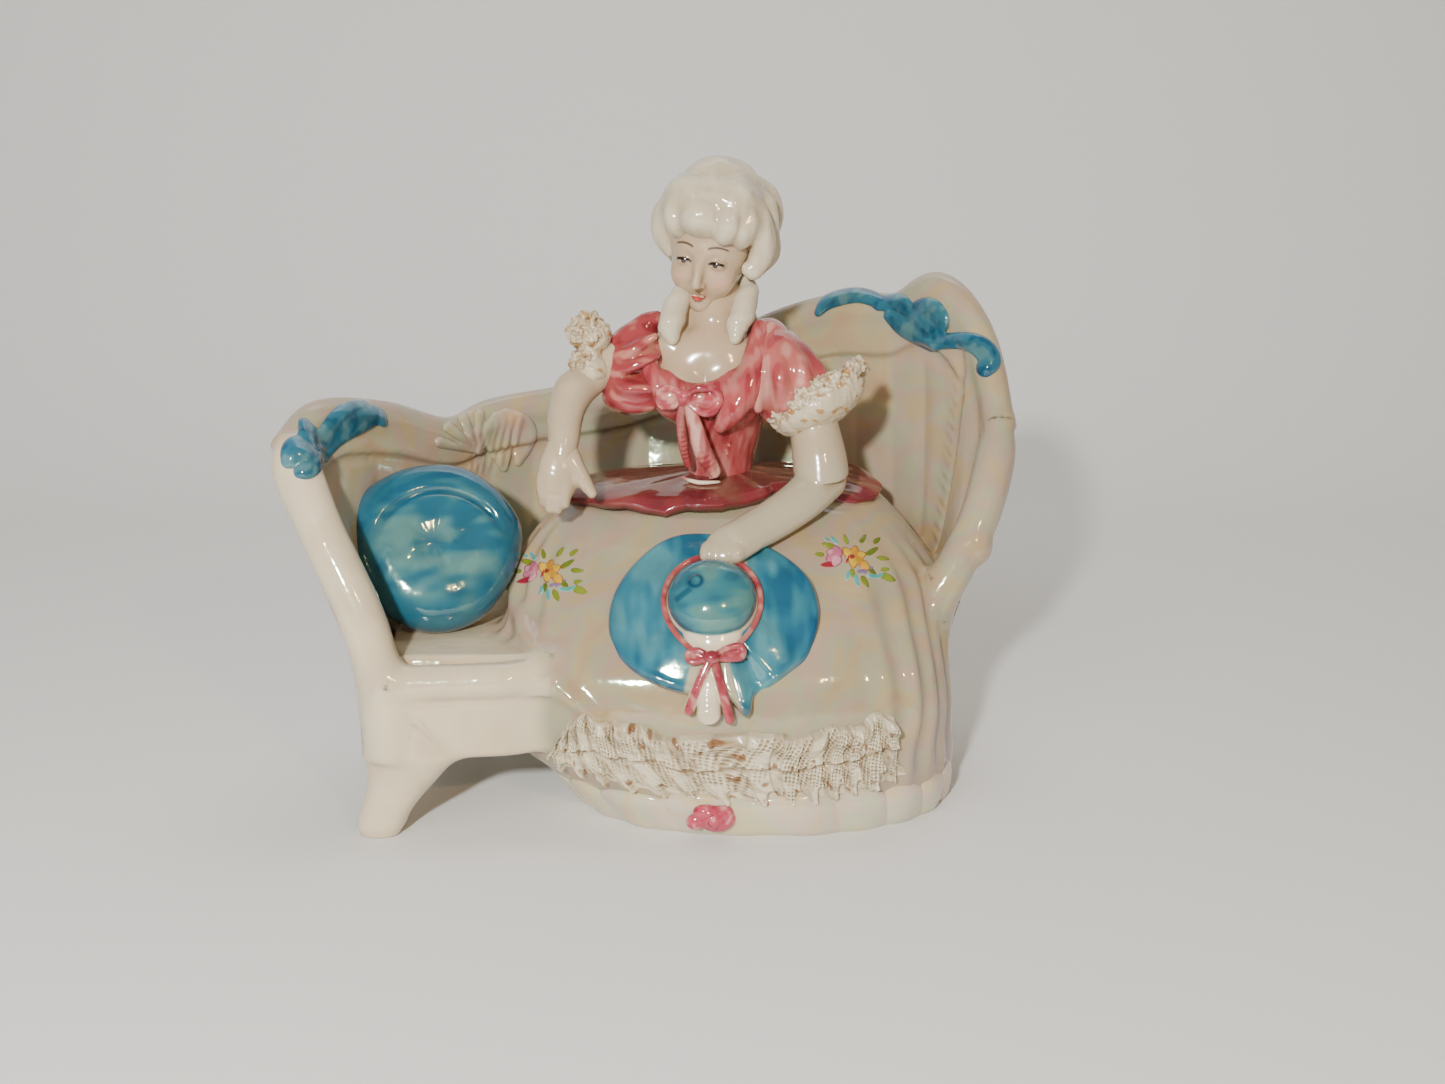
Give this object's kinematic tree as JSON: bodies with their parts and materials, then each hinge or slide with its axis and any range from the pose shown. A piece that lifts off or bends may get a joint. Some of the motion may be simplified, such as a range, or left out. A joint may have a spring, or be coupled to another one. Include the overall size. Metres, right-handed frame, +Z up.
{
  "type": "porcelain figurine",
  "caption": "Glazed porcelain figurine of a seated lady in a wide gown on a curved settee, with a round cushion, a straw hat on her lap and porcelain lace trim.",
  "frame": {"origin": "on the table, under the middle of the figurine's bounding box", "axes": "+X to the lady's left along the settee, +Y to the settee's back, +Z up"},
  "size_m": [0.1434, 0.083, 0.1222],
  "materials": {
    "glaze_cream": "clear gloss glaze over ivory porcelain",
    "glaze_lustre": "gloss glaze with a mother-of-pearl lustre",
    "glaze_white": "clear gloss glaze over white porcelain",
    "glaze_skin": "clear gloss glaze over tinted porcelain, painted face",
    "glaze_blue": "hand-brushed teal blue glaze, gloss",
    "glaze_rose": "hand-brushed rose glaze, gloss",
    "porcelain_lace": "slip-dipped lace, glazed, with brown and gold stains"
  },
  "bodies": {
    "root": {"seat_deck": "glaze_cream", "front_rail": "glaze_cream", "front_left_leg": "glaze_cream", "rear_left_leg": "glaze_cream", "rear_right_leg": "glaze_cream", "settee_back": "glaze_lustre", "left_post": "glaze_cream", "right_post": "glaze_cream", "crest_rail": "glaze_lustre", "crest_shell": "glaze_lustre", "left_crest_ribbon": "glaze_blue", "right_crest_ribbon": "glaze_blue", "cushion": "glaze_blue", "skirt": "glaze_lustre", "hem_ruffle": "glaze_cream", "skirt_lace": "porcelain_lace", "hem_rose": "glaze_rose", "peplum": "glaze_rose", "bodice": "glaze_rose", "bodice_bow": "glaze_rose", "bow_streamers": "glaze_rose", "neck_and_chest": "glaze_skin", "head": "glaze_skin", "hair": "glaze_white", "left_ringlet": "glaze_white", "right_ringlet": "glaze_white", "left_sleeve": "glaze_rose", "right_sleeve": "glaze_rose", "left_lace_cuff": "porcelain_lace", "right_lace_cuff": "porcelain_lace", "left_arm": "glaze_skin", "left_hand": "glaze_skin", "right_arm": "glaze_skin", "right_hand": "glaze_skin", "hat_brim": "glaze_blue", "hat_crown": "glaze_blue", "hat_band": "glaze_rose", "hat_bow": "glaze_rose", "hat_streamers": "glaze_rose"}
  },
  "joints": []
}
